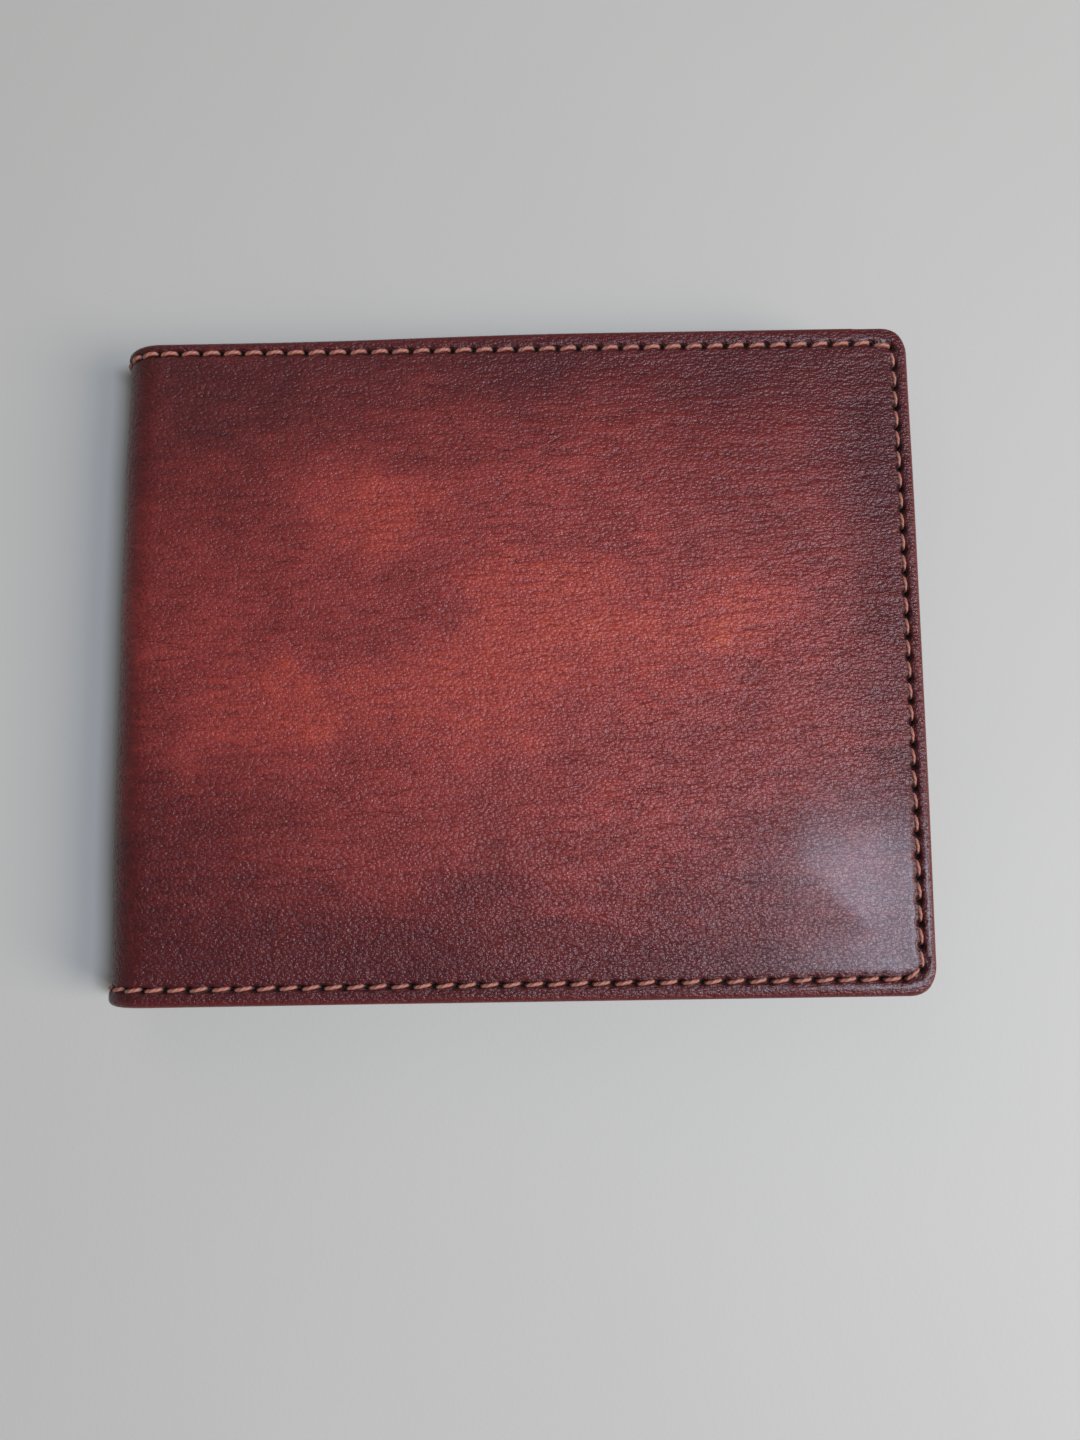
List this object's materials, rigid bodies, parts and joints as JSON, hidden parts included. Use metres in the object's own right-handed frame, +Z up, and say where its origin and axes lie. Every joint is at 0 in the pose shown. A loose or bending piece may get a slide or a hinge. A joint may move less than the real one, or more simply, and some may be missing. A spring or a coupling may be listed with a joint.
{
  "type": "bifold wallet",
  "caption": "Slim bifold leather wallet, closed, with a note compartment, staggered card slots and an edge seam.",
  "frame": {"origin": "centre of the footprint of the closed wallet, on the surface that it lies on", "axes": "+X from the spine to the free edge, +Y to the mouth of the note compartment, +Z up through the front cover"},
  "size_m": [0.115, 0.095, 0.0128],
  "materials": {
    "cover_leather": "semi-gloss, burnished red-brown",
    "inner_leather": "satin dark brown",
    "lining": "fine dark weave",
    "board": "matt fibre board",
    "thread": "waxed copper-brown thread"
  },
  "bodies": {
    "back": {"back_cover": "cover_leather", "back_stiffener": "board", "back_lining": "lining", "back_note_wall": "lining", "back_card_panel": "inner_leather", "back_card_slot_1": "inner_leather", "back_card_slot_2": "inner_leather", "back_card_slot_3": "inner_leather", "back_slot_lining_1": "lining", "back_slot_lining_2": "lining", "back_slot_lining_3": "lining", "back_edge_thread": "thread", "back_panel_thread": "thread"},
    "front": {"front_cover": "cover_leather", "front_stiffener": "board", "front_lining": "lining", "front_note_wall": "lining", "front_card_panel": "inner_leather", "front_card_slot_1": "inner_leather", "front_card_slot_2": "inner_leather", "front_card_slot_3": "inner_leather", "front_slot_lining_1": "lining", "front_slot_lining_2": "lining", "front_slot_lining_3": "lining", "front_edge_thread": "thread", "front_panel_thread": "thread"},
    "spine_1": {"spine_leather_1": "cover_leather", "spine_lining_1": "lining", "spine_note_wall_1": "lining", "spine_thread_1": "thread"},
    "spine_2": {"spine_leather_2": "cover_leather", "spine_lining_2": "lining", "spine_note_wall_2": "lining", "spine_thread_2": "thread"},
    "spine_3": {"spine_leather_3": "cover_leather", "spine_lining_3": "lining", "spine_note_wall_3": "lining", "spine_thread_3": "thread"}
  },
  "joints": [
    {"name": "fold_1", "type": "hinge", "parent": "back", "child": "spine_1", "pos_m": [-0.05355, 0, 0.00049], "axis": [0, -1, 0], "range_deg": [0, 45]},
    {"name": "fold_2", "type": "hinge", "parent": "spine_1", "child": "spine_2", "pos_m": [-0.05701, 0, 0.00395], "axis": [0, -1, 0], "range_deg": [0, 45]},
    {"name": "fold_3", "type": "hinge", "parent": "spine_2", "child": "spine_3", "pos_m": [-0.05701, 0, 0.00885], "axis": [0, -1, 0], "range_deg": [0, 45]},
    {"name": "fold_4", "type": "hinge", "parent": "spine_3", "child": "front", "pos_m": [-0.05355, 0, 0.01231], "axis": [0, -1, 0], "range_deg": [0, 45]}
  ],
  "couplings": [
    {"joint": "fold_2", "follows": "fold_1", "ratio": 1},
    {"joint": "fold_3", "follows": "fold_1", "ratio": 1},
    {"joint": "fold_4", "follows": "fold_1", "ratio": 1}
  ]
}
